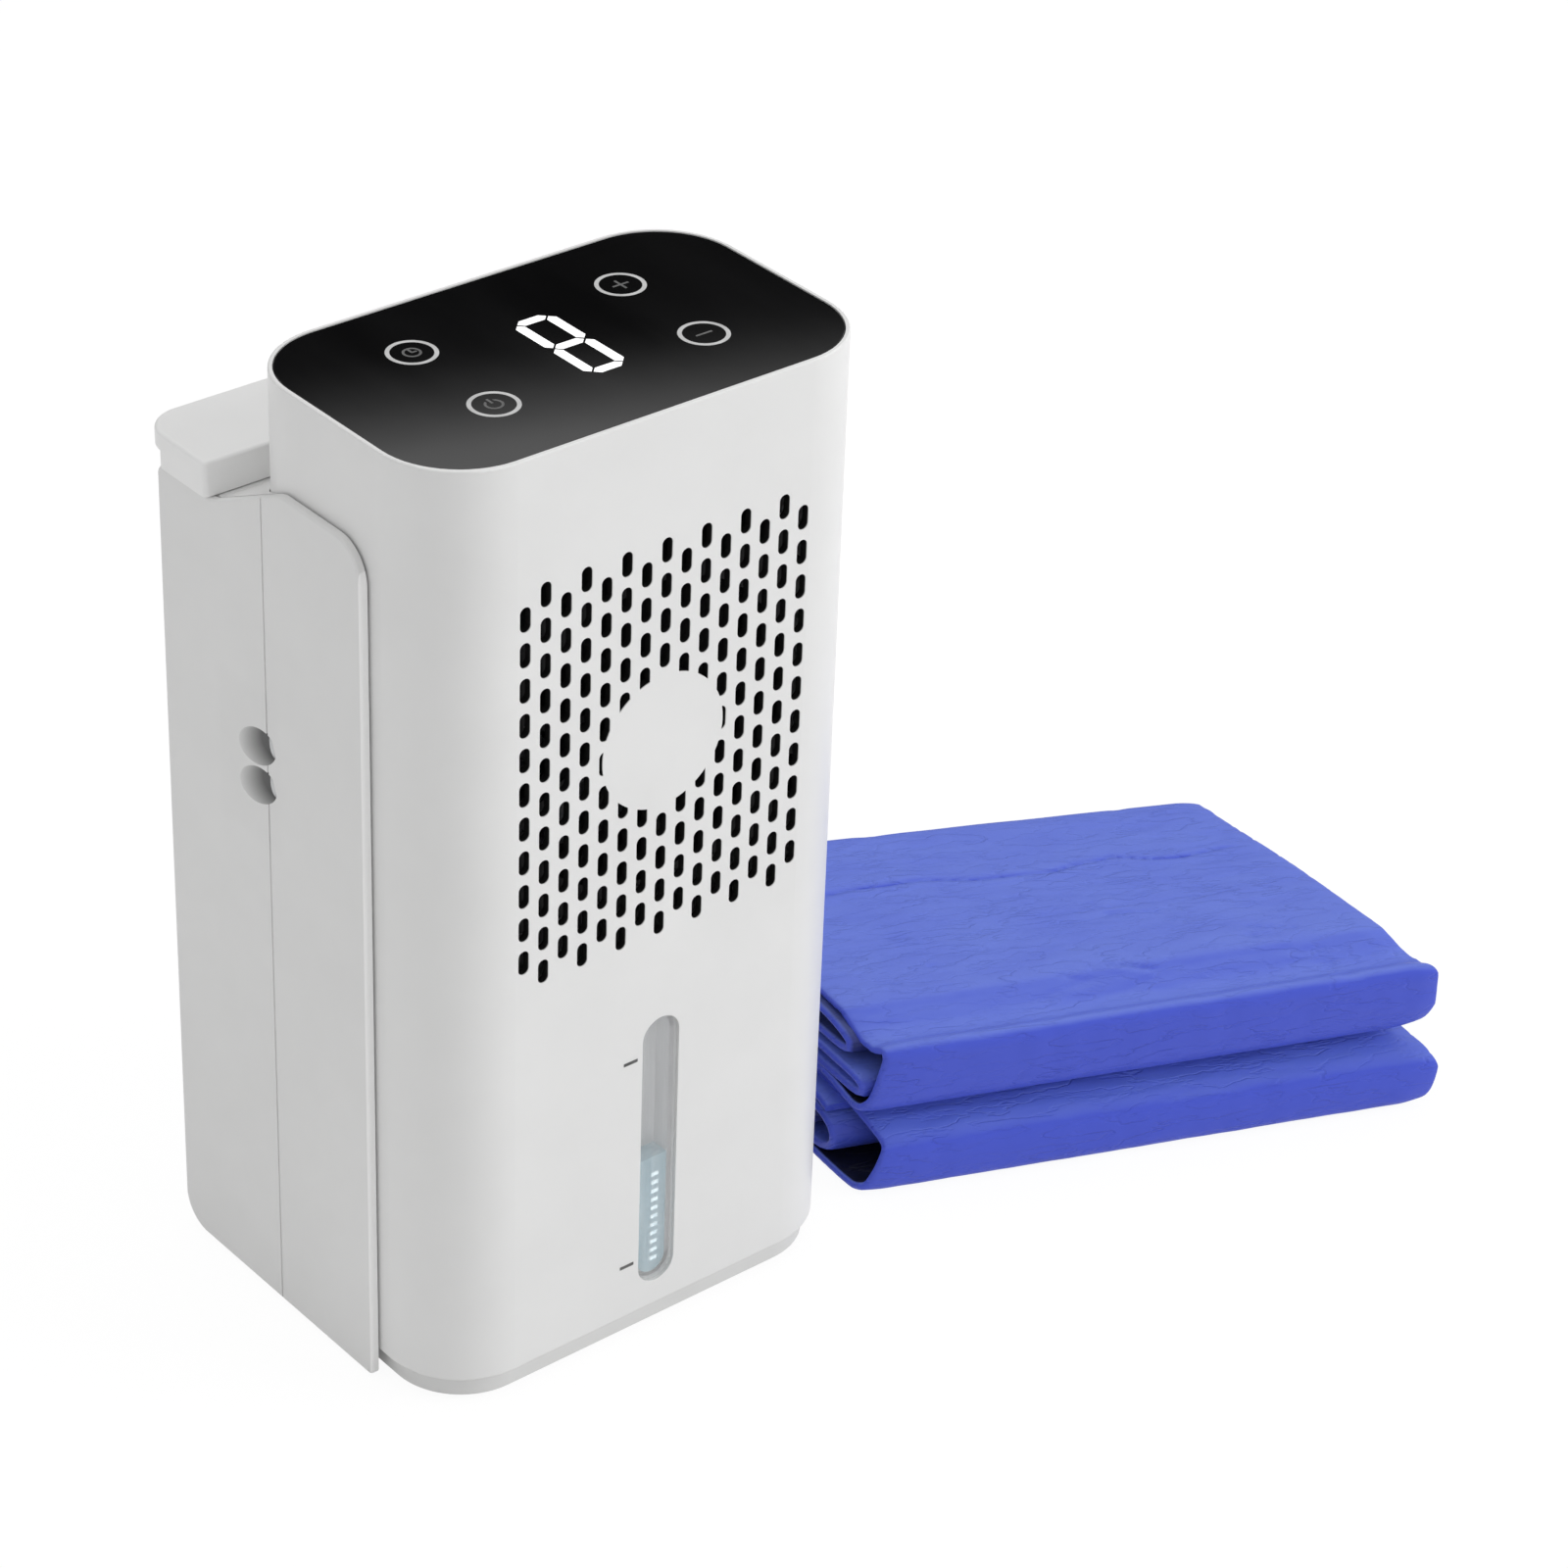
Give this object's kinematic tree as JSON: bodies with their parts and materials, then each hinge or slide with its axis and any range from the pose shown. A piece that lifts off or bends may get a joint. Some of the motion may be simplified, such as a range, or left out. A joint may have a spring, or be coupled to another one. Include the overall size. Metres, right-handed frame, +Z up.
{
  "type": "water cooling mattress pad",
  "caption": "Tall rounded water-circulating unit with grille, level window, touch panel and hinged filler lid, beside a folded water pad.",
  "frame": {"origin": "bottom centre of the whole, on the surface that it stands on", "axes": "+Z up, +Y towards the back of the unit, +X to the right seen from the front"},
  "size_m": [0.3316, 0.1796, 0.29],
  "materials": {
    "white_plastic": "satin",
    "plinth_plastic": "satin",
    "black_glass": "gloss",
    "white_print": "matt",
    "grey_print": "matt",
    "clear_lens": "gloss",
    "chamber_grey": "satin",
    "water": "gloss",
    "black_rubber": "matt",
    "steel": "satin",
    "circuit_board": "satin",
    "black_plastic": "matt",
    "aluminium": "satin",
    "tank_plastic": "satin",
    "silicone_hose": "satin",
    "blue_cloth": "soft sheen"
  },
  "bodies": {
    "unit": {"front_shell": "white_plastic", "rear_housing": "white_plastic", "side_cover_left": "white_plastic", "side_cover_right": "white_plastic", "base_plinth": "plinth_plastic", "rubber_feet": "black_rubber", "base_screws": "steel", "housing_screws": "steel", "glass_panel": "black_glass", "key_rings": "white_print", "key_icons": "grey_print", "display_digit": "white_print", "panel_carrier": "chamber_grey", "display_board": "circuit_board", "digit_module": "black_plastic", "touch_springs": "steel", "panel_screws": "steel", "window_lens": "clear_lens", "sight_chamber": "chamber_grey", "water_column": "water", "level_ticks": "grey_print", "sight_tube": "silicone_hose", "fan_frame": "black_plastic", "fan_axle": "steel", "fan_screws": "steel", "radiator_top_header": "aluminium", "radiator_bottom_header": "aluminium", "radiator_tubes": "aluminium", "radiator_fins": "aluminium", "radiator_brackets": "aluminium", "water_tank": "tank_plastic", "tank_gasket": "black_rubber", "tank_cover": "tank_plastic", "tank_grommets": "black_rubber", "filler_chute": "tank_plastic", "lid_hinge_pins": "steel", "lid_seal": "black_rubber", "pump_body": "tank_plastic", "pump_cover": "tank_plastic", "pump_motor": "black_plastic", "pump_hose": "silicone_hose", "outlet_hose": "silicone_hose", "return_hose": "silicone_hose", "outlet_port": "tank_plastic", "return_port": "tank_plastic", "port_gaskets": "black_rubber", "control_board": "circuit_board", "board_screws": "steel", "dc_inlet": "black_plastic"},
    "fan": {"fan_impeller": "black_plastic"},
    "pump_rotor": {"pump_shaft": "steel", "pump_impeller": "tank_plastic"},
    "lid": {"filler_lid": "white_plastic"},
    "pad_lower": {"pad_lower_fold": "blue_cloth"},
    "pad_upper": {"pad_upper_fold": "blue_cloth"}
  },
  "joints": [
    {"name": "fan_spin", "type": "hinge", "parent": "unit", "child": "fan", "pos_m": [-0.0902, -0.0195, 0.1937], "axis": [0, 1, 0], "continuous": true},
    {"name": "pump_spin", "type": "hinge", "parent": "unit", "child": "pump_rotor", "pos_m": [-0.0502, 0.003, 0.034], "axis": [0, 1, 0], "continuous": true},
    {"name": "lid_hinge", "type": "hinge", "parent": "unit", "child": "lid", "pos_m": [-0.0902, 0.0845, 0.251], "axis": [-1, 0, 0], "range_deg": [0, 75]},
    {"name": "pad_lift", "type": "slide", "parent": "unit", "child": "pad_lower", "axis": [0, 0, 1], "range_m": [0, 0.15]},
    {"name": "pad_unfold", "type": "hinge", "parent": "pad_lower", "child": "pad_upper", "pos_m": [0.08747, 0.05219, 0.026], "axis": [-0.9026, 0.4305, 0], "range_deg": [0, 178]}
  ]
}
